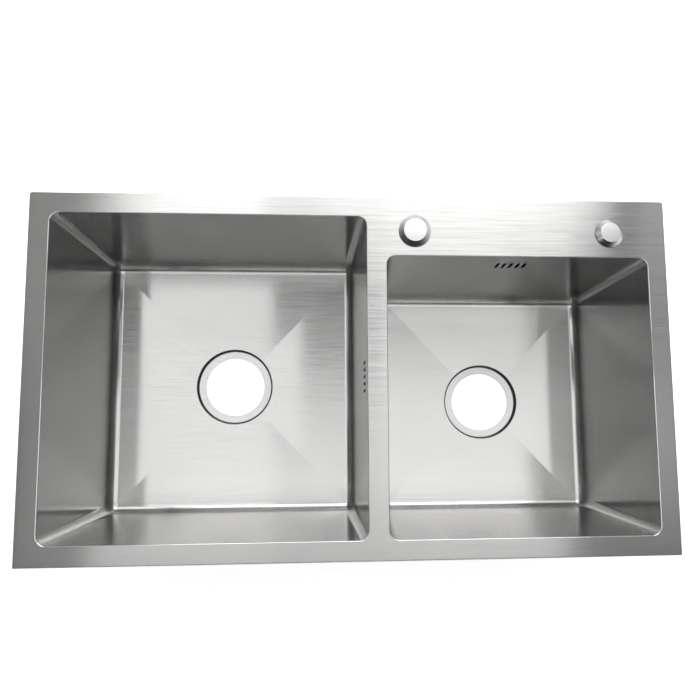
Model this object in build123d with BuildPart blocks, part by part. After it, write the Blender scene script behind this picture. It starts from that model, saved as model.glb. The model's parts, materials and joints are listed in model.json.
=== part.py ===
from build123d import *
from collections import namedtuple
import math
import os

# Drop-in kitchen sink with two bowls, pressed and welded from stainless sheet.
# Millimetres. X runs along the sink, Y from the user to the wall, Z up. The origin is the
# centre of the footprint, on the underside of the drain seats, where the sink stands.

# ---- deck
sheet = 1.2  # stainless sheet of the deck and the bowls
deck_length = 800.0
deck_depth = 450.0
rim_height = 4.0  # the deck's outer edge is folded down this far
rim_edge_radius = 1.5  # rounding along the fold
rear_corner_radius = 3.5
front_corner_radius = 1.6
mouth_edge_radius = 1.0  # rounding of the deck's edge around each bowl
deck_margin = 25.0  # deck beside, in front of and behind the bowls
divider = 25.0  # deck between the bowls
tap_ledge = 75.0  # deck behind the right bowl

# ---- bowls
left_bowl_width = 388.0
bowl_depth = 200.0  # from the deck's top face to the foot of the walls
wall_inset = 11.6  # the walls lean in by this much over the bowl's depth
bend_radius = 12.0  # inner rounding where walls meet each other and the floor
floor_fall = 4.5  # the floor's four facets fall this much towards the drain
floor_border = 1.0  # level strip between the facets and the bend at the walls
drain_seat_diameter = 114.0  # recess that takes the strainer's flange
drain_seat_depth = 6.0
drain_hole_diameter = 90.0
seat_lip_radius = 1.5
seat_foot_radius = 1.2

# ---- overflows
overflow_slots = 5
slot_width = 4.5
slot_height = 20.0
slot_pitch = 9.0
overflow_depth = 35.0  # from the deck's top face to the middle of the slots
gasket_thickness = 2.0
chamber_width = 52.0
chamber_height = 34.0
chamber_depth = 17.0
chamber_wall = 2.0
flange_thickness = 2.5
flange_margin = 3.0  # flange above and below the chamber
ear_length = 12.0  # flange beside the chamber, with the stud hole
spigot_diameter = 13.0
spigot_bore = 9.0
spigot_length = 26.0
spigot_root = 8.0  # from the chamber to the bead that stops the hose
bead_height = 0.7
stud_diameter = 4.0
stud_hole_gap = 0.2
stud_spare = 1.2  # stud beyond its nut
stud_nut_flats = 7.0
stud_nut_height = 3.2

# ---- stiffeners, seal and sound pads
stiffener_thickness = 2.0
stiffener_gap = 2.0  # from a stiffener to the bowl walls beside it
stiffener_rail_gap = 0.5
bridge_end_gap = 12.0
seal_width = 9.0
seal_gap = 0.4  # from the seal to the folded rim
seal_proud = 0.2  # the seal reaches this far below the rim
pad_thickness = 3.0
floor_pad_size = 250.0
floor_pad_corner = 20.0
floor_pad_gap = 12.0  # around the drain seat
wall_pad_length = 160.0
wall_pad_height = 90.0
wall_pad_corner = 10.0
wall_pad_depth = 115.0  # from the deck's top face to the pads' middle

# ---- rails under the deck
rail_width = 9.0
rail_height = 7.0
rail_sheet = 1.2
rail_slot = 3.6
rail_wall_gap = 0.8  # from a rail to the bowl wall
rail_end_gap = 30.0  # from the front and rear rails to the deck's ends
side_rail_end_gap = 45.0

# ---- worktop clips
worktop_thinnest = 18.0
worktop_thickest = 42.0
clip_sheet = 1.5
clip_width = 14.0
clip_gap = 0.3  # running clearance
hook_thickness = 2.0
neck_width = 3.0
shoulder_height = 1.5
web_outset = 4.4  # the web's back, from the rail's middle towards the bowl
foot_thickness = 2.5
foot_past_screw = 5.0
clip_end_play = 0.5
screw_outset = 2.6  # the screw's axis, from the rail's middle away from the bowl
screw_diameter = 6.0
thread_gap = 0.08  # radial play of screws, studs and nuts
screw_past_foot = 1.0
screw_head_diameter = 10.0
screw_head_height = 4.0
screw_slot_width = 1.6
screw_slot_depth = 2.0
screw_point = 1.0
jaw_thickness = 2.5
jaw_finger = 2.0
jaw_tip_margin = 2.5  # from the jaw's tip to the deck's edge
jaw_bend_radius = 3.0
tooth_depth = 1.5
tooth_share = 0.8  # share of each pitch that is notch
teeth = 4
end_clip_inset = 130.0  # from the deck's ends to the outer front and rear clips

# ---- hole covers on the tap ledge
hole_from_rear = 43.5
tap_hole_inset = 36.0  # from the right bowl's left side
tap_hole_diameter = 35.0
tap_cap_base = 41.0
tap_cap_top = 29.0
dispenser_hole_inset = 49.0  # from the right bowl's right side
dispenser_hole_diameter = 28.0
dispenser_cap_base = 36.5
dispenser_cap_top = 25.4
cap_height = 4.5
cap_wall = 1.5
cap_edge_radius = 0.6
cap_seal_thickness = 0.8
cap_seal_inset = 0.6
cap_seal_width = 2.0
cap_stud_diameter = 6.0
cap_boss_diameter = 12.0
bar_width = 22.0
bar_overlap = 9.0  # the bar reaches this far past the hole at each end
bar_thickness = 2.5
nut_hub_diameter = 11.0
nut_height = 7.0
nut_span = 27.0
nut_wing_thickness = 2.0
nut_wing_height = 11.0
nut_travel = 12.0

# ---- heights and places that follow
deck_top = bowl_depth + floor_fall + drain_seat_depth + sheet
deck_under = deck_top - sheet
wall_slope = wall_inset / bowl_depth
wall_angle = math.atan(wall_slope)
right_bowl_width = deck_length - 2 * deck_margin - divider - left_bowl_width
rail_inset = deck_margin - sheet - rail_wall_gap - rail_width / 2
hole_y = deck_depth / 2 - hole_from_rear

Bowl = namedtuple("Bowl", "x y width length")
left = Bowl(
    x=-deck_length / 2 + deck_margin + left_bowl_width / 2,
    y=0.0,
    width=left_bowl_width,
    length=deck_depth - 2 * deck_margin,
)
right = Bowl(
    x=deck_length / 2 - deck_margin - right_bowl_width / 2,
    y=(deck_margin - tap_ledge) / 2,
    width=right_bowl_width,
    length=deck_depth - deck_margin - tap_ledge,
)
tap_hole_x = right.x - right.width / 2 + tap_hole_inset
dispenser_hole_x = right.x + right.width / 2 - dispenser_hole_inset

FRONT, REAR = (0, -1), (0, 1)
LEFT, RIGHT = (-1, 0), (1, 0)

os.makedirs("parts", exist_ok=True)


def finish(piece, label):
    piece.label = label
    export_step(piece, f"parts/{label}.step")


# ---- bowls


def wall_plane(bowl, side, depth=0.0):
    """Plane on a bowl wall's inner face at a depth: Z points out of the bowl, Y up the wall."""
    out_x, out_y = side
    lean = wall_slope * depth
    x = bowl.x + out_x * (bowl.width / 2 - lean)
    y = bowl.y + out_y * (bowl.length / 2 - lean)
    outward = (out_x * math.cos(wall_angle), out_y * math.cos(wall_angle), -math.sin(wall_angle))
    return Plane(origin=(x, y, deck_top - depth), x_dir=(-out_y, out_x, 0), z_dir=outward)


def floor_funnel(bowl, skin):
    """The four facets that fall from the floor's border to the drain seat."""
    border = wall_inset + bend_radius * math.tan((math.pi / 2 - wall_angle) / 2) + floor_border
    half_width, half_length = bowl.width / 2 - border, bowl.length / 2 - border
    seat_half = drain_seat_diameter / math.sqrt(8)
    floor_z = deck_top - bowl_depth - skin
    with BuildPart() as funnel:
        with BuildSketch(Plane.XY.offset(floor_z)):
            with Locations((bowl.x, bowl.y)):
                Rectangle(2 * half_width, 2 * half_length)
        extrude(amount=-floor_fall)
        for out_x, out_y in (FRONT, REAR, LEFT, RIGHT):
            edge = (bowl.x + out_x * half_width, bowl.y + out_y * half_length, floor_z)
            run = (half_width if out_x else half_length) - seat_half
            facet = Plane(origin=edge, z_dir=(-out_x * floor_fall, -out_y * floor_fall, run))
            split(bisect_by=facet, keep=Keep.TOP)
    return funnel.part


def bowl_form(bowl, skin):
    """The bowl's inner space, made larger by skin all round."""
    funnel = floor_funnel(bowl, skin)
    floor_z = deck_top - bowl_depth - skin
    spare = 2 * (skin + sheet)
    with BuildPart() as form:
        with BuildSketch(Plane.XY.offset(deck_top)):
            with Locations((bowl.x, bowl.y)):
                Rectangle(bowl.width + spare, bowl.length + spare)
        extrude(amount=-(bowl_depth + skin))
        for side in (FRONT, REAR, LEFT, RIGHT):
            split(bisect_by=wall_plane(bowl, side).offset(skin), keep=Keep.BOTTOM)
        fillet(form.edges().filter_by_position(Axis.Z, floor_z, deck_top - sheet), bend_radius + skin)
        add(funnel)
        with BuildSketch(Plane.XY.offset(floor_z)):
            with Locations((bowl.x, bowl.y)):
                Circle(drain_seat_diameter / 2 + skin)
        extrude(amount=-(floor_fall + drain_seat_depth))
        if skin == 0:
            seat_wall = form.faces().filter_by(GeomType.CYLINDER).sort_by(Axis.Z)[0]
            lip = seat_wall.edges().filter_by_position(Axis.Z, floor_z - floor_fall - sheet, floor_z)
            fillet(lip, seat_lip_radius)
            fillet(form.edges().filter_by(GeomType.CIRCLE).sort_by(Axis.Z)[0], seat_foot_radius)
    return form.part


def bowl_shell(bowl, overflow_side):
    """Welded or pressed bowl of one sheet thickness, open at the top and at the drain."""
    outside = bowl_form(bowl, sheet)
    inside = bowl_form(bowl, 0)
    slots = wall_plane(bowl, overflow_side, overflow_depth)
    with BuildPart() as shell:
        add(outside)
        add(inside, mode=Mode.SUBTRACT)
        split(bisect_by=Plane.XY.offset(deck_under), keep=Keep.BOTTOM)
        with BuildSketch(Plane.XY):
            with Locations((bowl.x, bowl.y)):
                Circle(drain_hole_diameter / 2)
        extrude(amount=2 * sheet, mode=Mode.SUBTRACT)
        with BuildSketch(slots):
            with GridLocations(slot_pitch, 0, overflow_slots, 1):
                SlotOverall(slot_height, slot_width, rotation=90)
        extrude(amount=2 * sheet, both=True, mode=Mode.SUBTRACT)
    return shell.part


finish(bowl_shell(left, RIGHT), "left_bowl")
finish(bowl_shell(right, REAR), "right_bowl")

# ---- deck

with BuildPart() as deck_plate:
    with BuildSketch(Plane.XY.offset(deck_top)) as outline:
        Rectangle(deck_length, deck_depth)
        fillet(outline.vertices().group_by(Axis.Y)[-1], rear_corner_radius)
        fillet(outline.vertices().group_by(Axis.Y)[0], front_corner_radius)
    extrude(amount=-rim_height)
    with BuildSketch(Plane.XY.offset(deck_under)) as hollow:
        Rectangle(deck_length - 2 * sheet, deck_depth - 2 * sheet)
    extrude(amount=-rim_height, mode=Mode.SUBTRACT)
    fillet(deck_plate.faces().sort_by(Axis.Z)[-1].outer_wire().edges(), rim_edge_radius)
    with BuildSketch(Plane.XY.offset(deck_top)):
        for bowl in (left, right):
            with Locations((bowl.x, bowl.y)):
                RectangleRounded(bowl.width, bowl.length, bend_radius)
    extrude(amount=-sheet, mode=Mode.SUBTRACT)
    mouths = deck_plate.faces().sort_by(Axis.Z)[-1].inner_wires()
    fillet([edge for mouth in mouths for edge in mouth.edges()], min(mouth_edge_radius, 0.9 * sheet))
    with BuildSketch(Plane.XY.offset(deck_top)):
        with Locations((tap_hole_x, hole_y)):
            Circle(tap_hole_diameter / 2)
        with Locations((dispenser_hole_x, hole_y)):
            Circle(dispenser_hole_diameter / 2)
    extrude(amount=-sheet, mode=Mode.SUBTRACT)
finish(deck_plate.part, "deck_plate")

with BuildPart() as rim_seal:
    with BuildSketch(Plane.XY.offset(deck_under)):
        seal_edge = sheet + seal_gap
        Rectangle(deck_length - 2 * seal_edge, deck_depth - 2 * seal_edge)
        inner_edge = seal_edge + seal_width
        Rectangle(deck_length - 2 * inner_edge, deck_depth - 2 * inner_edge, mode=Mode.SUBTRACT)
    extrude(amount=-(rim_height - sheet + seal_proud))
finish(rim_seal.part, "rim_seal")

# ---- stiffeners under the tap ledge and the divider

with BuildPart() as tap_ledge_stiffener:
    ledge_front = deck_depth / 2 - tap_ledge + sheet + stiffener_gap
    ledge_rear = deck_depth / 2 - rail_inset - rail_width / 2 - stiffener_rail_gap
    with BuildSketch(Plane.XY.offset(deck_under)):
        with Locations((right.x, (ledge_front + ledge_rear) / 2)):
            Rectangle(right.width - 2 * stiffener_gap, ledge_rear - ledge_front)
        with Locations((tap_hole_x, hole_y)):
            Circle(tap_hole_diameter / 2, mode=Mode.SUBTRACT)
        with Locations((dispenser_hole_x, hole_y)):
            Circle(dispenser_hole_diameter / 2, mode=Mode.SUBTRACT)
    extrude(amount=-stiffener_thickness)
finish(tap_ledge_stiffener.part, "tap_ledge_stiffener")

with BuildPart() as bridge_stiffener:
    bridge_x = left.x + left.width / 2 + divider / 2
    with BuildSketch(Plane.XY.offset(deck_under)):
        with Locations((bridge_x, right.y)):
            bridge_width = divider - 2 * sheet - 2 * stiffener_gap
            Rectangle(bridge_width, right.length - 2 * bridge_end_gap)
    extrude(amount=-stiffener_thickness)
finish(bridge_stiffener.part, "bridge_stiffener")

# ---- sound pads


def floor_pad(bowl):
    """Rubber pad under the floor, cut out around the drain seat, following the creases."""
    floor = bowl_form(bowl, sheet)
    face = bowl_form(bowl, sheet + pad_thickness)
    with BuildPart() as pad:
        with BuildSketch(Plane.XY):
            with Locations((bowl.x, bowl.y)):
                RectangleRounded(floor_pad_size, floor_pad_size, floor_pad_corner)
                Circle(drain_seat_diameter / 2 + floor_pad_gap, mode=Mode.SUBTRACT)
        extrude(amount=deck_top - bowl_depth)
        add(floor, mode=Mode.SUBTRACT)
        add(face, mode=Mode.INTERSECT)
    return pad.part


def wall_pad(bowl, side):
    with BuildPart() as pad:
        with BuildSketch(wall_plane(bowl, side, wall_pad_depth).offset(sheet)):
            RectangleRounded(wall_pad_length, wall_pad_height, wall_pad_corner)
        extrude(amount=pad_thickness)
    return pad.part


finish(floor_pad(left), "left_floor_pad")
finish(floor_pad(right), "right_floor_pad")
finish(wall_pad(left, FRONT), "left_front_pad")
finish(wall_pad(left, LEFT), "left_end_pad")
finish(wall_pad(right, FRONT), "right_front_pad")
finish(wall_pad(right, RIGHT), "right_end_pad")

# ---- overflows

ear_x = chamber_width / 2 + ear_length / 2
flange_width = chamber_width + 2 * ear_length
flange_height = chamber_height + 2 * flange_margin
stud_hole_radius = stud_diameter / 2 + stud_hole_gap


def overflow_gasket(wall):
    with BuildPart() as gasket:
        with BuildSketch(wall):
            RectangleRounded(flange_width, flange_height, flange_margin)
            opening_width = chamber_width - 2 * chamber_wall
            opening_height = chamber_height - 2 * chamber_wall
            Rectangle(opening_width, opening_height, mode=Mode.SUBTRACT)
            with Locations((-ear_x, 0), (ear_x, 0)):
                Circle(stud_hole_radius, mode=Mode.SUBTRACT)
        extrude(amount=gasket_thickness)
    return gasket.part


def overflow_chamber(wall):
    """Moulded chamber behind the slots, with a beaded hose tail at its foot."""
    seat = wall.offset(gasket_thickness)
    spigot_out = gasket_thickness + chamber_depth - chamber_wall - spigot_diameter / 2
    spigot_top = wall.origin - wall.y_dir * (chamber_height / 2) + wall.z_dir * spigot_out
    spigot = Plane(origin=spigot_top, x_dir=wall.x_dir, z_dir=-wall.y_dir)
    with BuildPart() as chamber:
        with BuildSketch(seat):
            RectangleRounded(flange_width, flange_height, flange_margin)
            with Locations((-ear_x, 0), (ear_x, 0)):
                Circle(stud_hole_radius, mode=Mode.SUBTRACT)
        extrude(amount=flange_thickness)
        with BuildSketch(seat):
            RectangleRounded(chamber_width, chamber_height, flange_margin)
        extrude(amount=chamber_depth)
        with BuildSketch(spigot.offset(-chamber_wall / 2)):
            Circle(spigot_diameter / 2)
        extrude(amount=spigot_length + chamber_wall / 2)
        with BuildSketch(spigot.offset(spigot_root)):
            Circle(spigot_diameter / 2 + bead_height)
        extrude(amount=2 * bead_height)
        with BuildSketch(seat):
            Rectangle(chamber_width - 2 * chamber_wall, chamber_height - 2 * chamber_wall)
        extrude(amount=chamber_depth - chamber_wall, mode=Mode.SUBTRACT)
        with BuildSketch(spigot.offset(-2 * chamber_wall)):
            Circle(spigot_bore / 2)
        extrude(amount=spigot_length + 2 * chamber_wall, mode=Mode.SUBTRACT)
    return chamber.part


def overflow_studs(wall):
    """Two threaded studs welded to the bowl wall."""
    with BuildPart() as studs:
        with BuildSketch(wall):
            with Locations((-ear_x, 0), (ear_x, 0)):
                Circle(stud_diameter / 2)
        extrude(amount=gasket_thickness + flange_thickness + stud_nut_height + stud_spare)
    return studs.part


def overflow_nuts(wall):
    with BuildPart() as nuts:
        with BuildSketch(wall.offset(gasket_thickness + flange_thickness)):
            with Locations((-ear_x, 0), (ear_x, 0)):
                RegularPolygon(stud_nut_flats / 2, 6, major_radius=False)
                Circle(stud_diameter / 2, mode=Mode.SUBTRACT)
        extrude(amount=stud_nut_height)
    return nuts.part


for name, bowl, side in (("left", left, RIGHT), ("right", right, REAR)):
    wall = wall_plane(bowl, side, overflow_depth).offset(sheet)
    finish(overflow_gasket(wall), f"{name}_overflow_gasket")
    finish(overflow_chamber(wall), f"{name}_overflow_chamber")
    finish(overflow_studs(wall), f"{name}_overflow_studs")
    finish(overflow_nuts(wall), f"{name}_overflow_nuts")

# ---- rails and clips


def edge_plane(side, along=0.0):
    """Plane on the deck's underside over a rail's middle: X points out of the sink."""
    out_x, out_y = side
    x = out_x * (deck_length / 2 - rail_inset) + abs(out_y) * along
    y = out_y * (deck_depth / 2 - rail_inset) + abs(out_x) * along
    return Plane(origin=(x, y, deck_under), x_dir=(out_x, out_y, 0), z_dir=(0, 0, 1))


def section_plane(edge):
    """Upright plane across a rail: X points out of the sink, Y up."""
    return Plane(origin=edge.origin, x_dir=edge.x_dir, z_dir=-edge.y_dir)


def rail(side, length):
    """Channel with a slot along its underside, welded below the deck."""
    with BuildPart() as channel:
        with BuildSketch(section_plane(edge_plane(side))):
            with Locations((0, -rail_height / 2)):
                Rectangle(rail_width, rail_height)
                Rectangle(rail_width - 2 * rail_sheet, rail_height - 2 * rail_sheet, mode=Mode.SUBTRACT)
            with Locations((0, -rail_height)):
                Rectangle(rail_slot, 3 * rail_sheet, mode=Mode.SUBTRACT)
        extrude(amount=length / 2, both=True)
    return channel.part


finish(rail(FRONT, deck_length - 2 * rail_end_gap), "front_rail")
finish(rail(REAR, deck_length - 2 * rail_end_gap), "rear_rail")
finish(rail(LEFT, deck_depth - 2 * side_rail_end_gap), "left_rail")
finish(rail(RIGHT, deck_depth - 2 * side_rail_end_gap), "right_rail")

# depths below the deck's underside, with the clip fully open
jaw_travel = worktop_thickest - worktop_thinnest
hook_seat = rail_height - rail_sheet
shoulder_top = rail_height + clip_end_play
shoulder_under = shoulder_top + shoulder_height
screw_tip = shoulder_under + clip_end_play + jaw_travel
foot_top = screw_tip + screw_past_foot
foot_under = foot_top + foot_thickness
jaw_top = foot_under + clip_end_play + jaw_travel
jaw_under = jaw_top + jaw_thickness
claw_top = rim_height - sheet + worktop_thickest
web_end = jaw_under + clip_end_play
web_front = clip_sheet - web_outset
jaw_reach = rail_inset - jaw_tip_margin


def span(x_min, x_max, depth_top, depth_under):
    """Rectangle between two places across the rail and two depths below the deck."""
    with Locations(((x_min + x_max) / 2, -(depth_top + depth_under) / 2)):
        Rectangle(x_max - x_min, depth_under - depth_top)


def clip_hanger(edge):
    """Bent strap: a hook in the rail, a web down to the jaw and a tapped foot for the screw."""
    hook_half = rail_width / 2 - rail_sheet - clip_gap
    with BuildPart() as hanger:
        with BuildSketch(section_plane(edge)):
            span(-hook_half, hook_half, hook_seat - hook_thickness, hook_seat)
            span(-neck_width / 2, neck_width / 2, hook_seat, shoulder_under)
            span(-web_outset, neck_width / 2, shoulder_top, shoulder_under)
            span(-web_outset, web_front, shoulder_top, web_end)
            span(-web_outset, screw_outset + foot_past_screw, foot_top, foot_under)
        extrude(amount=clip_width / 2, both=True)
        with BuildSketch(edge.offset(-foot_top)):
            with Locations((screw_outset, 0)):
                Circle(screw_diameter / 2 + thread_gap)
        extrude(amount=-foot_thickness, mode=Mode.SUBTRACT)
    return hanger.part


def clip_screw(edge):
    """Slotted screw from below: its head carries the jaw and its thread runs in the foot."""
    shank = jaw_under - screw_tip
    with BuildPart() as screw:
        with BuildSketch(edge.offset(-screw_tip)):
            with Locations((screw_outset, 0)):
                Circle(screw_diameter / 2)
        extrude(amount=-shank)
        chamfer(screw.edges().sort_by(Axis.Z)[-1], screw_point)
        with BuildSketch(edge.offset(-jaw_under)):
            with Locations((screw_outset, 0)):
                Circle(screw_head_diameter / 2)
        extrude(amount=-screw_head_height)
        with BuildSketch(edge.offset(-jaw_under - screw_head_height)):
            with Locations((screw_outset, 0)):
                Rectangle(screw_head_diameter, screw_slot_width)
        extrude(amount=screw_slot_depth, mode=Mode.SUBTRACT)
    return screw.part


def clip_jaw(edge):
    """Bent plate with a toothed claw. Two fingers at its back run along the hanger's web."""
    half_width = clip_width / 2 + clip_gap + jaw_finger
    notch_end = web_front + clip_gap
    with BuildPart() as jaw:
        with BuildSketch(section_plane(edge)):
            span(-web_outset, jaw_reach, jaw_top, jaw_under)
            span(jaw_reach - jaw_thickness, jaw_reach, claw_top, jaw_under)
        extrude(amount=half_width, both=True)
        bend = jaw.edges().filter_by(Axis(edge.origin, edge.y_dir)).group_by(Axis.Z)[0]
        fillet(bend.sort_by(Axis(edge.origin, edge.x_dir))[-1], jaw_bend_radius)
        with BuildSketch(edge.offset(-jaw_top)):
            with Locations((screw_outset, 0)):
                Circle(screw_diameter / 2 + 2 * thread_gap)
            with Locations(((notch_end - web_outset) / 2, 0)):
                Rectangle(notch_end + web_outset, clip_width + 2 * clip_gap)
        extrude(amount=-jaw_thickness, mode=Mode.SUBTRACT)
        tooth_pitch = 2 * half_width / teeth
        claw_face = Plane(origin=edge.origin, x_dir=edge.y_dir, z_dir=edge.x_dir)
        with BuildSketch(claw_face.offset(jaw_reach - jaw_thickness)):
            with Locations((0, -claw_top)):
                with GridLocations(tooth_pitch, 0, teeth, 1):
                    notch = tooth_share * tooth_pitch / 2
                    Polygon((-notch, 0), (0, -tooth_depth), (notch, 0), align=None)
        extrude(amount=jaw_thickness, mode=Mode.SUBTRACT)
    return jaw.part


outer_clip = deck_length / 2 - end_clip_inset
clips = [
    (FRONT, -outer_clip),
    (FRONT, 0.0),
    (FRONT, outer_clip),
    (RIGHT, 0.0),
    (REAR, outer_clip),
    (REAR, 0.0),
    (REAR, -outer_clip),
    (LEFT, 0.0),
]
for number, (side, along) in enumerate(clips, start=1):
    edge = edge_plane(side, along)
    finish(clip_hanger(edge), f"clip_{number}_hanger")
    finish(clip_screw(edge), f"clip_{number}_screw")
    finish(clip_jaw(edge), f"clip_{number}_jaw")

# ---- hole covers

cap_under = deck_top + cap_seal_thickness
bar_top = deck_under - stiffener_thickness
nut_top = bar_top - bar_thickness
stud_end = nut_top - nut_height - nut_travel


def hole_cap(x, base, top):
    """Conical cover, hollow below, with a boss and a threaded stud."""
    with BuildPart() as cap:
        with BuildSketch(Plane(origin=(x, hole_y, cap_under), x_dir=(1, 0, 0), z_dir=(0, -1, 0))):
            with BuildLine():
                Polyline(
                    (0, stud_end - cap_under),
                    (cap_stud_diameter / 2, stud_end - cap_under),
                    (cap_stud_diameter / 2, 0),
                    (cap_boss_diameter / 2, 0),
                    (cap_boss_diameter / 2, cap_height - cap_wall),
                    (top / 2 - cap_wall, cap_height - cap_wall),
                    (base / 2 - 2 * cap_wall, 0),
                    (base / 2, 0),
                    (top / 2, cap_height),
                    (0, cap_height),
                    close=True,
                )
            make_face()
        revolve(axis=Axis((x, hole_y, 0), (0, 0, 1)))
        rings = cap.edges().filter_by(GeomType.CIRCLE)
        fillet(rings.sort_by(Axis.Z)[-1], cap_edge_radius)
    return cap.part


def cap_seal(x, base):
    with BuildPart() as seal:
        with BuildSketch(Plane.XY.offset(deck_top)):
            with Locations((x, hole_y)):
                Circle(base / 2 - cap_seal_inset)
                Circle(base / 2 - cap_seal_inset - cap_seal_width, mode=Mode.SUBTRACT)
        extrude(amount=cap_seal_thickness)
    return seal.part


def backing_bar(x, hole):
    with BuildPart() as bar:
        with BuildSketch(Plane.XY.offset(bar_top)):
            with Locations((x, hole_y)):
                Rectangle(hole + 2 * bar_overlap, bar_width)
                Circle(cap_stud_diameter / 2 + 2 * thread_gap, mode=Mode.SUBTRACT)
        extrude(amount=-bar_thickness)
    return bar.part


def wing_nut(x):
    with BuildPart() as nut:
        with BuildSketch(Plane.XY.offset(nut_top)):
            with Locations((x, hole_y)):
                Circle(nut_hub_diameter / 2)
        extrude(amount=-nut_height)
        across = Plane(origin=(x, hole_y, nut_top - nut_height), x_dir=(1, 0, 0), z_dir=(0, -1, 0))
        with BuildSketch(across):
            with Locations((0, (nut_height - nut_wing_height) / 2)):
                SlotOverall(nut_span, nut_wing_height)
        extrude(amount=nut_wing_thickness / 2, both=True)
        split(bisect_by=Plane.XY.offset(nut_top), keep=Keep.BOTTOM)
        with BuildSketch(Plane.XY.offset(nut_top)):
            with Locations((x, hole_y)):
                Circle(cap_stud_diameter / 2 + thread_gap)
        extrude(amount=-2 * nut_wing_height, mode=Mode.SUBTRACT)
    return nut.part


for name, x, hole, base, top in (
    ("tap_hole", tap_hole_x, tap_hole_diameter, tap_cap_base, tap_cap_top),
    ("dispenser_hole", dispenser_hole_x, dispenser_hole_diameter, dispenser_cap_base, dispenser_cap_top),
):
    finish(hole_cap(x, base, top), f"{name}_cap")
    finish(cap_seal(x, base), f"{name}_seal")
    finish(backing_bar(x, hole), f"{name}_bar")
    finish(wing_nut(x), f"{name}_nut")
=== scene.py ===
"""Studio scene of the double bowl sink: finishes, cut threads, floor, lights and camera."""

import json
import math

import bmesh
import bpy
from mathutils import Matrix, Vector


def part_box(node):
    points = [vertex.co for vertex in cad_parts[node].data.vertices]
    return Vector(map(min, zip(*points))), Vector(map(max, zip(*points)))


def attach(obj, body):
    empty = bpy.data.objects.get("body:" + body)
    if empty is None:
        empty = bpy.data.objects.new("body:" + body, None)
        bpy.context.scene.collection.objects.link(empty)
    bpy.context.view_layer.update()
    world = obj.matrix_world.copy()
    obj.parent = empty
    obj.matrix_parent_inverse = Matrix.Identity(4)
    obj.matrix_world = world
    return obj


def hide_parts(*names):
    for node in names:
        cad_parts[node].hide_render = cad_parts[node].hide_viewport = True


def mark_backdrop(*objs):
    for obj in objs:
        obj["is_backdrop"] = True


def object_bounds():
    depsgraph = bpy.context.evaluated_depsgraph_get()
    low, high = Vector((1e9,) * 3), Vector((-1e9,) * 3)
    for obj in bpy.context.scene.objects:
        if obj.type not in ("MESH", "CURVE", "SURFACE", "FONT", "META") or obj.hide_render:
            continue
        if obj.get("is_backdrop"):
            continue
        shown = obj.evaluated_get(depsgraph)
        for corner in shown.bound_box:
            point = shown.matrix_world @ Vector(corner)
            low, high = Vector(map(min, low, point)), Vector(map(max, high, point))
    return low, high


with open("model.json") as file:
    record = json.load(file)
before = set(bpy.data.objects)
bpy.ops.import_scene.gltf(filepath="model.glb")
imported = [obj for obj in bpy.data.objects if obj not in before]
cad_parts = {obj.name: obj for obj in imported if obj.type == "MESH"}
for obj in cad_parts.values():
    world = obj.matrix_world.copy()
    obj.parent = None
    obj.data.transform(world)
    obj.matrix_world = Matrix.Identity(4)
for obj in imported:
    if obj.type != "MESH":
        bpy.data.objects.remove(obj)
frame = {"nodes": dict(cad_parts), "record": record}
cad_low, cad_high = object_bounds()
nodes = frame["nodes"]

X_AXIS = (1.0, 0.0, 0.0)
Y_AXIS = (0.0, 1.0, 0.0)
Z_AXIS = (0.0, 0.0, 1.0)


# ---- node helpers


class NodeTree:
    """Short calls that add nodes to the tree of a material or of the world."""

    def __init__(self, owner):
        owner.use_nodes = True
        self.tree = owner.node_tree

    def feed(self, socket, value):
        """Links an output to a socket, or sets the socket where value is a number or a tuple."""
        if isinstance(value, bpy.types.NodeSocket):
            self.tree.links.new(value, socket)
        else:
            socket.default_value = value

    def node(self, kind, output=0, inputs=(), **settings):
        made = self.tree.nodes.new(kind)
        for key, value in settings.items():
            setattr(made, key, value)
        for key, value in dict(inputs).items():
            self.feed(made.inputs[key], value)
        return made.outputs[output]

    def math(self, operation, a, b=0.0):
        return self.node("ShaderNodeMath", inputs={0: a, 1: b}, operation=operation)

    def vector(self, operation, a, b=(0.0, 0.0, 0.0)):
        """A vector, or a number where the operation is DOT_PRODUCT or LENGTH."""
        output = 1 if operation in ("DOT_PRODUCT", "LENGTH") else 0
        return self.node("ShaderNodeVectorMath", output, {0: a, 1: b}, operation=operation)

    def ramp(self, value, low, high, to_low=0.0, to_high=1.0):
        """Brings low to to_low and high to to_high, and holds the ends beyond them."""
        span = {0: value, 1: low, 2: high, 3: to_low, 4: to_high}
        return self.node("ShaderNodeMapRange", inputs=span)


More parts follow.
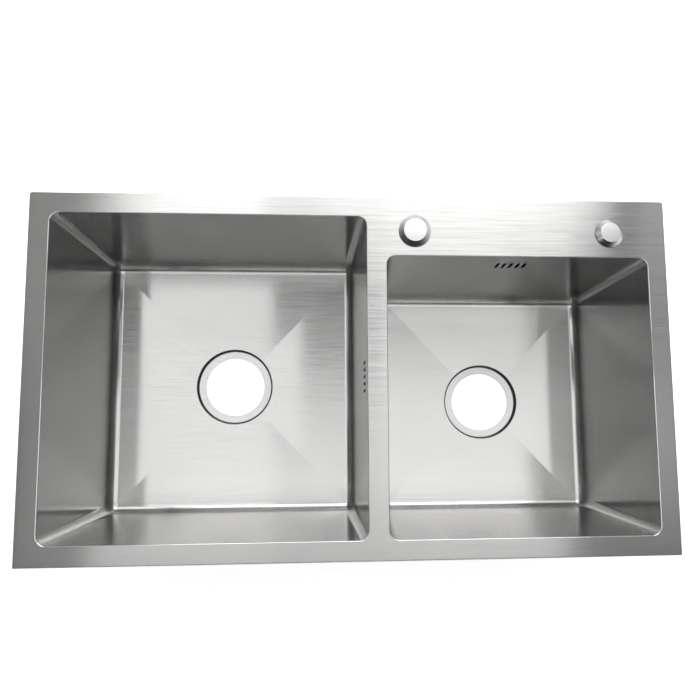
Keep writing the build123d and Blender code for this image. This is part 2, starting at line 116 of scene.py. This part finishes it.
class Shader(NodeTree):
    """A material with one Principled surface, and short calls for what feeds it."""

    def __init__(self, name):
        self.material = bpy.data.materials.new(name)
        super().__init__(self.material)
        self.surface = self.tree.nodes["Principled BSDF"]

    def set(self, **sockets):
        for key, value in sockets.items():
            self.feed(self.surface.inputs[key.replace("_", " ")], value)

    def mix(self, share, a, b):
        return self.node("ShaderNodeMix", 0, {0: share, 2: a, 3: b})

    def mix_vector(self, share, a, b):
        return self.node("ShaderNodeMix", 1, {0: share, 4: a, 5: b}, data_type="VECTOR")

    def mix_color(self, share, a, b, blend="MIX"):
        mixed = {0: share, 6: a, 7: b}
        return self.node("ShaderNodeMix", 2, mixed, data_type="RGBA", blend_type=blend)

    def vary(self, noise, to_low=0.0, to_high=1.0):
        """Spreads the middle part of a noise, where most of it lies, between two values."""
        return self.ramp(noise, 0.3, 0.7, to_low, to_high)

    def tone(self, level):
        return self.node("ShaderNodeCombineColor", inputs={0: level, 1: level, 2: level})

    def position(self):
        """Place on the piece in metres, which moves with it."""
        return self.node("ShaderNodeTexCoord", 3)

    def normal(self):
        return self.node("ShaderNodeNewGeometry", 1)

    def facing(self, axis):
        """Share from 0 to 1 of the surface's normal along an axis, either way."""
        return self.math("ABSOLUTE", self.vector("DOT_PRODUCT", self.normal(), axis))

    def noise(self, scale, detail=0.0, roughness=0.5):
        """Noise from 0 to 1, at cycles per metre: one number, or one along each axis."""
        along_axes = scale if isinstance(scale, tuple) else (scale, scale, scale)
        placed = self.vector("MULTIPLY", self.position(), along_axes)
        inputs = {0: placed, 2: 1.0, 3: detail, 4: roughness}
        return self.node("ShaderNodeTexNoise", inputs=inputs)

    def cells(self, scale, output=0):
        """Distance to the nearest of the points scattered at scale per metre, or its colour."""
        inputs = {"Vector": self.position(), "Scale": scale}
        return self.node("ShaderNodeTexVoronoi", output, inputs)

    def bump(self, height, depth, under=None):
        """Normal for a height from 0 to 1 that stands for depth metres, on top of another bump."""
        inputs = {"Height": height, "Distance": depth}
        if under is not None:
            inputs["Normal"] = under
        return self.node("ShaderNodeBump", inputs=inputs)

    def rounded(self, radius):
        return self.node("ShaderNodeBevel", inputs={"Radius": radius})

    def edge(self, radius):
        """Share from 0 to 1 of edge within radius metres."""
        likeness = self.vector("DOT_PRODUCT", self.rounded(radius), self.normal())
        return self.ramp(likeness, 0.97, 0.8)


def grey(level, tint=(1.0, 1.0, 1.0)):
    return (level * tint[0], level * tint[1], level * tint[2], 1.0)


def middle(name):
    low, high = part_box(name)
    return tuple((Vector(low) + Vector(high)) / 2)


# ---- finishes

STEEL = grey(0.56, (1.0, 0.995, 0.985))
# Paler steel for the deck's rounded edges: a painted highlight
BEAD_HIGHLIGHT_STEEL = grey(0.8)
# Near black painted on the step round each drain's seat: painted shade
SEAT_STEP_SHADE = grey(0.07)
SPRAYED_COAT = grey(0.2, (0.97, 1.0, 1.02))
# Paler grey on the raised tops of the coat's spatter: a painted highlight
SPATTER_TOP_HIGHLIGHT = grey(0.29)

# Streaks of the brushing: cycles per metre along it and across it
FINE_STREAKS = (30.0, 1100.0)
BROAD_STREAKS = (13.0, 560.0)
BROAD_SHARE = 0.6
STREAK_DEPTH = 0.0000018

# Radii round a bowl's middle where the painted shade on the step of its drain's seat starts
# and is full, and where it fades and is gone
SEAT_STEP_INNER = (0.0552, 0.056)
SEAT_STEP_OUTER = (0.058, 0.0588)


def brushed_steel(name, darkest, smoothest):
    """Stainless sheet brushed along X, and along Y on the walls that face along X.

    The darkest streaks keep that share of the steel's colour. Returns the shader with its
    colour, roughness and relief, for the caller to change and set.
    """
    s = Shader(name)
    end_wall = s.math("GREATER_THAN", s.facing(X_AXIS), s.math("ADD", s.facing(Y_AXIS), 0.3))
    along_x = s.vector("CROSS_PRODUCT", s.normal(), X_AXIS)
    along_y = s.vector("CROSS_PRODUCT", s.normal(), Y_AXIS)
    s.set(Anisotropic=1.0, Tangent=s.mix_vector(end_wall, along_x, along_y))
    layers = []
    for along, across in (FINE_STREAKS, BROAD_STREAKS):
        on_long_faces = s.noise((along, across, across))
        on_end_walls = s.noise((across, along, across))
        layers.append(s.mix(end_wall, on_long_faces, on_end_walls))
    streak = s.mix(BROAD_SHARE, *layers)
    color = s.mix_color(1.0, s.tone(s.vary(streak, darkest, 1.0)), STEEL, "MULTIPLY")
    clouds = s.vary(s.noise(7.0, 2.0), -0.01, 0.01)
    rough = s.math("ADD", s.vary(streak, smoothest, smoothest + 0.04), clouds)
    return s, color, rough, s.bump(streak, STREAK_DEPTH)


def deck_steel():
    """Brushed sheet whose rounded edges are polished, and painted paler as a painted highlight
    along them.
    """
    s, color, rough, relief = brushed_steel("brushed_stainless", 0.9, 0.22)
    upright = s.facing(Z_AXIS)
    bead = s.math("MULTIPLY", s.ramp(upright, 0.05, 0.2), s.ramp(upright, 0.98, 0.92))
    # The rounded edges are smoother, and painted paler: a painted highlight along the bead
    s.set(
        Base_Color=s.mix_color(bead, color, BEAD_HIGHLIGHT_STEEL),
        Metallic=1.0,
        Roughness=s.mix(bead, rough, 0.12),
        Normal=relief,
    )
    return s.material


def bowl_steel(bowl):
    """Brushed sheet with a coat sprayed on the faces that look away from the bowl's middle.

    The step round the drain's seat is painted dark: painted shade where its steep wall falls in
    shadow.
    """
    s, color, rough, relief = brushed_steel(f"{bowl}_steel", 0.92, 0.18)
    away = s.vector("SUBTRACT", s.position(), middle(bowl))
    radius = s.vector("LENGTH", s.vector("MULTIPLY", away, (1.0, 1.0, 0.0)))
    # Painted shade: a dark ring on the step round the drain's seat, where its steep wall is in
    # shadow
    beyond_inner = s.ramp(radius, *SEAT_STEP_INNER)
    within_outer = s.ramp(radius, *reversed(SEAT_STEP_OUTER))
    seat_step_shade = s.math("MULTIPLY", beyond_inner, within_outer)
    bare = s.mix_color(seat_step_shade, color, SEAT_STEP_SHADE)
    coat = s.math("GREATER_THAN", s.vector("DOT_PRODUCT", s.normal(), away), 0.0)
    spatter = s.noise(700.0, 3.0)
    # The raised tops of the spatter are painted paler: a painted highlight on the peaks
    sprayed = s.mix_color(s.ramp(spatter, 0.4, 0.75), SPRAYED_COAT, SPATTER_TOP_HIGHLIGHT)
    s.set(
        Base_Color=s.mix_color(coat, bare, sprayed),
        Metallic=s.math("SUBTRACT", 1.0, coat),
        Roughness=s.mix(coat, rough, s.vary(spatter, 0.6, 0.75)),
        Normal=s.mix_vector(coat, relief, s.bump(spatter, 0.0002)),
    )
    return s.material


def chrome():
    """Polished plating with the faintest orange peel and wiping marks, and a satin top."""
    s = Shader("polished_chrome")
    wiped = s.noise((60.0, 500.0, 60.0), 3.0)
    satin = s.ramp(s.vector("DOT_PRODUCT", s.normal(), Z_AXIS), 0.9, 0.99)
    cold_grey = grey(0.74, (0.98, 1.0, 1.03))
    sides = s.ramp(wiped, 0.35, 0.75, 0.2, 0.28)
    top = s.ramp(wiped, 0.35, 0.75, 0.3, 0.36)
    s.set(
        Base_Color=s.mix_color(s.ramp(wiped, 0.4, 0.8), grey(0.8), cold_grey),
        Metallic=1.0,
        Roughness=s.mix(satin, sides, top),
        Normal=s.bump(s.noise(260.0, 1.0), 0.000002),
    )
    return s.material


def mill_steel():
    """Stainless as it leaves the rolling mill, with handling scratches and brighter edges."""
    s = Shader("mill_steel")
    rolled = s.noise((150.0, 150.0, 1200.0), 3.0)
    clouds = s.noise(45.0, 3.0)
    scratch = s.ramp(s.noise((900.0, 60.0, 60.0), 1.0), 0.68, 0.75)
    dull = s.mix_color(s.vary(clouds), grey(0.42, (1.0, 0.99, 0.97)), grey(0.55))
    worn = s.mix_color(scratch, dull, grey(0.68))
    s.set(
        Base_Color=s.mix_color(s.edge(0.0005), worn, grey(0.72)),
        Metallic=1.0,
        Roughness=s.math("ADD", s.vary(rolled, 0.3, 0.42), s.vary(clouds, 0.0, 0.08)),
        Normal=s.bump(rolled, 0.00001, s.bump(scratch, -0.00002)),
    )
    return s.material


def zinc():
    """Bright zinc plating: a cold cast, soft spangles, and paler wear along the edges."""
    s = Shader("zinc_plating")
    spangle = s.node("ShaderNodeSeparateColor", 0, {0: s.cells(420.0, 1)})
    clouds = s.noise(160.0, 3.0)
    blue_cast, warm_cast = grey(0.5, (0.94, 0.98, 1.04)), grey(0.62, (1.0, 1.0, 0.96))
    plated = s.mix_color(s.vary(clouds), blue_cast, warm_cast)
    toned = s.mix_color(1.0, plated, s.tone(s.ramp(spangle, 0.0, 1.0, 0.9, 1.0)), "MULTIPLY")
    s.set(
        Base_Color=s.mix_color(s.edge(0.0004), toned, grey(0.78)),
        Metallic=1.0,
        Roughness=s.math("ADD", s.vary(clouds, 0.26, 0.4), s.ramp(spangle, 0.0, 1.0, 0.0, 0.06)),
        Normal=s.bump(clouds, 0.00002, s.rounded(0.00025)),
    )
    return s.material


def foam_rubber():
    """Closed-cell seal: matt black with small open cells where it was cut."""
    s = Shader("seal_rubber")
    cells = s.cells(1100.0)
    mottle = s.noise(90.0, 3.0)
    s.set(
        Base_Color=s.mix_color(s.vary(mottle), grey(0.018), grey(0.04)),
        Roughness=s.ramp(cells, 0.0, 0.6, 0.95, 0.75),
        Normal=s.bump(cells, 0.00025, s.bump(mottle, 0.0002)),
    )
    return s.material


def pad_rubber():
    """Pressed sound pad: pebbled black rubber with a dusty bloom and a softened edge."""
    s = Shader("pad_rubber")
    bloom = s.noise(28.0, 4.0)
    dusty = s.mix_color(s.ramp(bloom, 0.3, 0.8), grey(0.026), grey(0.045, (1.0, 0.98, 0.95)))
    s.set(
        Base_Color=s.mix_color(s.edge(0.0012), dusty, grey(0.08)),
        Roughness=s.vary(bloom, 0.6, 0.82),
        Normal=s.bump(s.cells(380.0), 0.0004, s.rounded(0.001)),
    )
    return s.material


def moulded_plastic(chamber):
    """Spark-eroded moulding in light grey, with a soft flow pattern and paler edges.

    The faces that look towards the chamber's middle are painted near black: painted shade for the
    dark inside of the chamber.
    """
    s = Shader(f"{chamber}_plastic")
    grain = s.noise(2200.0, 2.0)
    flow = s.vary(s.noise((30.0, 30.0, 12.0), 2.0, 0.6))
    body = s.mix_color(flow, grey(0.5, (1.0, 1.0, 0.98)), grey(0.58, (1.0, 0.995, 0.97)))
    clean = s.mix_color(s.edge(0.0006), body, grey(0.66))
    # Painted shade: near black on the inner faces, for the dark inside of the chamber
    chamber_inside_shade = s.mix_color(flow, grey(0.012), grey(0.03, (1.0, 0.96, 0.9)))
    away = s.vector("SUBTRACT", s.position(), middle(chamber))
    inside = s.math("LESS_THAN", s.vector("DOT_PRODUCT", s.normal(), away), 0.0)
    s.set(
        Base_Color=s.mix_color(inside, clean, chamber_inside_shade),
        Roughness=s.vary(grain, 0.38, 0.5),
        Normal=s.bump(grain, 0.00004, s.rounded(0.0004)),
    )
    return s.material


slot_finish = {
    "brushed_stainless": deck_steel(),
    "polished_chrome": chrome(),
    "plain_steel": mill_steel(),
    "zinc_plated_steel": zinc(),
    "seal_rubber": foam_rubber(),
    "pad_rubber": pad_rubber(),
}
own_finish = {}
for side in ("left", "right"):
    bowl, chamber = f"{side}_bowl", f"{side}_overflow_chamber"
    own_finish[bowl] = bowl_steel(bowl)
    own_finish[chamber] = moulded_plastic(chamber)
for row in frame["record"]["subparts"]:
    piece = nodes[row["node"]]
    piece.data.materials.clear()
    piece.data.materials.append(own_finish.get(row["node"]) or slot_finish[row["material_slot"]])


# ---- mesh helpers


def turned(profile, steps):
    """Closed solid of revolution round Z through (radius, height) points, first and last on Z."""
    solid = bmesh.new()
    rings = []
    for radius, height in profile[1:-1]:
        ring = []
        for step in range(steps):
            angle = math.tau * step / steps
            place = (radius * math.cos(angle), radius * math.sin(angle), height)
            ring.append(solid.verts.new(place))
        rings.append(ring)
    for low_ring, high_ring in zip(rings, rings[1:]):
        for step in range(steps):
            ahead = (step + 1) % steps
            corners = (low_ring[step], low_ring[ahead], high_ring[ahead], high_ring[step])
            solid.faces.new(corners)
    solid.faces.new(rings[0][::-1])
    solid.faces.new(rings[-1])
    return solid


def slab(size, middle_at):
    """Box with its middle at a point."""
    box = bmesh.new()
    bmesh.ops.create_cube(box, size=1.0)
    bmesh.ops.scale(box, vec=size, verts=box.verts[:])
    bmesh.ops.translate(box, vec=middle_at, verts=box.verts[:])
    return box


def as_object(shape, name):
    mesh = bpy.data.meshes.new(name)
    shape.to_mesh(mesh)
    shape.free()
    made = bpy.data.objects.new(name, mesh)
    bpy.context.scene.collection.objects.link(made)
    return made


def combine(first, second, operation):
    """Joins the first object with the second, or cuts it by the second, which is removed."""
    step = first.modifiers.new("combine", "BOOLEAN")
    step.operation = operation
    step.solver = "EXACT"
    step.object = second
    evaluated = first.evaluated_get(bpy.context.evaluated_depsgraph_get())
    result = bpy.data.meshes.new_from_object(evaluated)
    first.modifiers.clear()
    first.data = result
    bpy.data.objects.remove(second)


def finished_mesh(piece, slot):
    """The piece's mesh in its finish, smooth except at its edges. The piece is removed."""
    mesh = piece.data
    bpy.data.objects.remove(piece)
    mesh.materials.clear()
    mesh.materials.append(slot_finish[slot])
    mesh.shade_smooth()
    mesh.set_sharp_from_angle(angle=math.radians(30.0))
    return mesh


def stands_for(name, mesh, at, turn):
    """Puts a detailed piece in a node's place, on the node's body."""
    piece = bpy.data.objects.new(f"{name}_detailed", mesh)
    piece.location = at
    piece.rotation_euler.z = turn
    bpy.context.scene.collection.objects.link(piece)
    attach(piece, name)
    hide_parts(name)


# ---- clip screws and hole covers with a cut thread

SCREW_RADIUS = 0.003
ROOT_RADIUS = 0.00245
PITCH = 0.001
POINT = 0.001
TURN_STEPS = 36
SPARE_TURNS = 2

HEAD_RADIUS = 0.005
HEAD_HEIGHT = 0.004
HEAD_EDGE = 0.0005
HEAD_STEPS = 64
DRIVE_WIDTH = 0.0016
DRIVE_DEPTH = 0.002

CAP_TOP_RADIUS = {"tap_hole_cap": 0.0145, "dispenser_hole_cap": 0.0127}
CAP_HEIGHT = 0.0045
CAP_WALL = 0.0015
CAP_EDGE = 0.0006
CAP_EDGE_STEPS = 6
CAP_STEPS = 128
BOSS_RADIUS = 0.006


def threaded_rod(bottom, top):
    """Rod along Z whose surface is one helical ridge. Its upper end has a conical point.

    The rows of the helix are half a pitch apart, by turns in the groove and on the ridge. They
    start and end some turns beyond the rod, where two level cuts make its end faces.
    """
    rod = bmesh.new()
    row_count = 2 * (math.ceil((top - bottom) / PITCH) + 2 * SPARE_TURNS)
    rows = []
    for row in range(row_count):
        ring = []
        for step in range(TURN_STEPS):
            height = bottom + PITCH * (row / 2 - SPARE_TURNS + step / TURN_STEPS)
            ridge = SCREW_RADIUS if row % 2 else ROOT_RADIUS
            radius = min(ridge, SCREW_RADIUS + min(0.0, top - POINT - height))
            angle = math.tau * step / TURN_STEPS
            place = (radius * math.cos(angle), radius * math.sin(angle), height)
            ring.append(rod.verts.new(place))
        rows.append(ring)
    for row in range(row_count - 3):
        lower = rows[row] + [rows[row + 2][0]]
        upper = rows[row + 1] + [rows[row + 3][0]]
        for step in range(TURN_STEPS):
            rod.faces.new((lower[step], lower[step + 1], upper[step + 1], upper[step]))
    for level, outside in ((bottom, -1.0), (top, 1.0)):
        everything = rod.verts[:] + rod.edges[:] + rod.faces[:]
        cut = bmesh.ops.bisect_plane(
            rod, geom=everything, plane_co=(0, 0, level), plane_no=(0, 0, outside), clear_outer=True
        )
        rim = [part for part in cut["geom_cut"] if isinstance(part, bmesh.types.BMEdge)]
        bmesh.ops.holes_fill(rod, edges=rim, sides=0)
    loose = [vert for vert in rod.verts if not vert.link_faces]
    bmesh.ops.delete(rod, geom=loose, context="VERTS")
    bmesh.ops.recalc_face_normals(rod, faces=rod.faces[:])
    return rod


def clip_screw_mesh(length):
    """Slotted cheese-head screw with its thread up and the foot of its head at the origin."""
    head_profile = (
        (0.0, 0.0),
        (HEAD_RADIUS - HEAD_EDGE, 0.0),
        (HEAD_RADIUS, HEAD_EDGE),
        (HEAD_RADIUS, HEAD_HEIGHT - HEAD_EDGE / 2),
        (HEAD_RADIUS - HEAD_EDGE / 2, HEAD_HEIGHT),
        (0.0, HEAD_HEIGHT),
    )
    screw = as_object(turned(head_profile, HEAD_STEPS), "screw")
    rod = threaded_rod(HEAD_HEIGHT - PITCH, length)
    combine(screw, as_object(rod, "rod"), "UNION")
    drive = slab((3 * HEAD_RADIUS, DRIVE_WIDTH, 2 * DRIVE_DEPTH), (0.0, 0.0, 0.0))
    combine(screw, as_object(drive, "drive"), "DIFFERENCE")
    return finished_mesh(screw, "zinc_plated_steel")


def hole_cap_mesh(base, top, stud_length):
    """Hollow cover with a boss and a threaded stud below, its rim at the origin's height.

    Its side is a cone from the base radius to the top radius, and an arc rounds its top edge.
    """
    lean = math.atan2(CAP_HEIGHT, base - top)
    arc_middle = top - CAP_EDGE * math.tan((math.pi / 2 - lean) / 2)
    profile = [
        (0.0, 0.0),
        (BOSS_RADIUS, 0.0),
        (BOSS_RADIUS, CAP_HEIGHT - CAP_WALL),
        (top - CAP_WALL, CAP_HEIGHT - CAP_WALL),
        (base - 2 * CAP_WALL, 0.0),
        (base, 0.0),
    ]
    for step in range(CAP_EDGE_STEPS + 1):
        angle = math.pi / 2 - lean + lean * step / CAP_EDGE_STEPS
        across, up = CAP_EDGE * math.cos(angle), CAP_EDGE * math.sin(angle)
        profile.append((arc_middle + across, CAP_HEIGHT - CAP_EDGE + up))
    profile.append((0.0, CAP_HEIGHT))
    cap = as_object(turned(profile, CAP_STEPS), "cap")
    stud = threaded_rod(-CAP_WALL, stud_length)
    bmesh.ops.rotate(stud, matrix=Matrix.Rotation(math.pi, 3, "X"), verts=stud.verts[:])
    combine(cap, as_object(stud, "stud"), "UNION")
    return finished_mesh(cap, "polished_chrome")


def on_axis(name, height):
    """Point at a height on the upright line through the middle of a node's box."""
    low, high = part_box(name)
    return ((low[0] + high[0]) / 2, (low[1] + high[1]) / 2, height)


clip_screws = [name for name in nodes if name.startswith("clip_") and name.endswith("_screw")]
low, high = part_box(clip_screws[0])
screw_mesh = clip_screw_mesh(high[2] - low[2])
for name in sorted(clip_screws):
    at = on_axis(name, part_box(name)[0][2])
    on_long_side = abs(at[1]) > cad_high[1] / 2
    turn = math.pi / 2 if on_long_side else 0.0
    stands_for(name, screw_mesh.copy(), at, turn)

for name, top_radius in CAP_TOP_RADIUS.items():
    low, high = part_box(name)
    rim = high[2] - CAP_HEIGHT
    mesh = hole_cap_mesh((high[0] - low[0]) / 2, top_radius, rim - low[2])
    stands_for(name, mesh, on_axis(name, rim), 0.0)


# ---- floor and backdrop

FLOOR_REACH = 2.6
FLOOR_DROP = 0.0005
DOME_RADIUS = 8.0
DOME_DROP = 0.01
DOME_RISE_STEPS = 24
DOME_STEPS = 96

corners = [
    (-FLOOR_REACH, -FLOOR_REACH, 0.0),
    (FLOOR_REACH, -FLOOR_REACH, 0.0),
    (FLOOR_REACH, FLOOR_REACH, 0.0),
    (-FLOOR_REACH, FLOOR_REACH, 0.0),
]
floor_mesh = bpy.data.meshes.new("floor")
floor_mesh.from_pydata(corners, [], [(0, 1, 2, 3)])
floor = bpy.data.objects.new("floor", floor_mesh)
floor.location.z = -FLOOR_DROP
floor.visible_glossy = False  # or it shows through the drain holes as a patch on the walls
bpy.context.scene.collection.objects.link(floor)
paint = Shader("floor_paint")
from_middle = paint.vector("LENGTH", paint.position())
paint.set(
    Base_Color=grey(0.9),
    Roughness=0.9,
    Emission_Color=grey(1.0),
    Emission_Strength=paint.ramp(from_middle, 0.7, 1.5, 0.7, 1.0),
)
floor_mesh.materials.append(paint.material)

dome_profile = [(0.0, -DOME_DROP)]
for step in range(DOME_RISE_STEPS):
    rise = math.radians(90.0 * step / DOME_RISE_STEPS)
    across, up = DOME_RADIUS * math.cos(rise), DOME_RADIUS * math.sin(rise)
    dome_profile.append((across, up - DOME_DROP))
dome_profile.append((0.0, DOME_RADIUS))
backdrop = as_object(turned(dome_profile, DOME_STEPS), "backdrop")
backdrop.visible_diffuse = False
backdrop.visible_glossy = False
backdrop.visible_transmission = False
backdrop.visible_shadow = False
glow = Shader("backdrop_glow")
glow.set(Base_Color=grey(0.9), Roughness=1.0, Emission_Color=grey(1.0), Emission_Strength=1.0)
backdrop.data.materials.append(glow.material)
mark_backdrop(floor, backdrop)


# ---- lights

CEILING = 1.9

# Panels of the ceiling, none over another, because light goes missing where two overlap:
# left, right, front and back sides in metres, and brightness, where 1 renders as white
PANELS = {
    "rear_near_bank": (-0.98, 1.2, 0.65, 1.2, 1.0),
    "rear_left_bank": (-0.98, -0.05, 1.2, 3.0, 4.3),
    "rear_right_bank": (-0.05, 1.32, 1.2, 3.0, 5.2),
    "rear_left_edge": (-0.98, -0.3, 0.35, 0.65, 2.6),
    "front_bank": (-0.98, 0.95, -0.65, 0.15, 1.72),
    "middle_right_bank": (0.2, 1.0, 0.15, 0.5, 1.2),
    "left_wing": (-2.2, -0.98, 0.0, 1.8, 0.5),
    "right_wing": (1.32, 2.6, 0.65, 3.0, 0.9),
    "front_left_wing": (-1.3, -0.98, -0.65, -0.25, 1.0),
    "front_right_wing": (0.95, 1.6, -0.45, 0.15, 1.0),
}


def softbox(name, left, right, front, back, brightness):
    """Panel of light that faces down from the studio's ceiling, between its four sides."""
    light = bpy.data.lights.new(name, "AREA")
    light.shape = "RECTANGLE"
    light.size, light.size_y = right - left, back - front
    light.energy = brightness * math.pi * light.size * light.size_y
    lamp = bpy.data.objects.new(name, light)
    lamp.location = ((left + right) / 2, (front + back) / 2, CEILING)
    bpy.context.scene.collection.objects.link(lamp)


for name, sides_and_brightness in PANELS.items():
    softbox(name, *sides_and_brightness)

# The room is bright at the horizon, and dims overhead and below the floor
world = bpy.data.worlds.new("studio")
sky = NodeTree(world)
background = sky.tree.nodes["Background"]
sky.feed(background.inputs["Color"], grey(1.0))
height = sky.node("ShaderNodeSeparateXYZ", 2, {0: sky.node("ShaderNodeTexCoord")})
overhead = sky.ramp(height, 0.05, 0.5, 1.0, 0.0)
underneath = sky.ramp(height, -0.3, -0.02, 0.2, 1.0)
sky.feed(background.inputs["Strength"], sky.math("MINIMUM", overhead, underneath))
bpy.context.scene.world = world


# ---- camera, at the photograph's viewing angle

CAMERA_AT = (-0.03554, -0.06764, 0.91585)
CAMERA_RIGHT = (0.99829, -0.0071, 0.0580)
CAMERA_UP = (0.00172, 0.99573, 0.09233)
CAMERA_BACK = (-0.05841, -0.09207, 0.99404)

camera_data = bpy.data.cameras.new("camera")
camera_data.sensor_width = 36.0
camera_data.lens = 29.69
camera_data.shift_x = -0.01723
camera_data.shift_y = 0.03734
camera_data.clip_start = 0.01
camera = bpy.data.objects.new("camera", camera_data)
axes = Matrix((CAMERA_RIGHT, CAMERA_UP, CAMERA_BACK)).transposed()
camera.matrix_world = Matrix.Translation(CAMERA_AT) @ axes.to_4x4()
bpy.context.scene.collection.objects.link(camera)
bpy.context.scene.camera = camera

bpy.context.scene.view_settings.view_transform = "Standard"
bpy.context.scene.cycles.use_denoising = True

low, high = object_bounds()
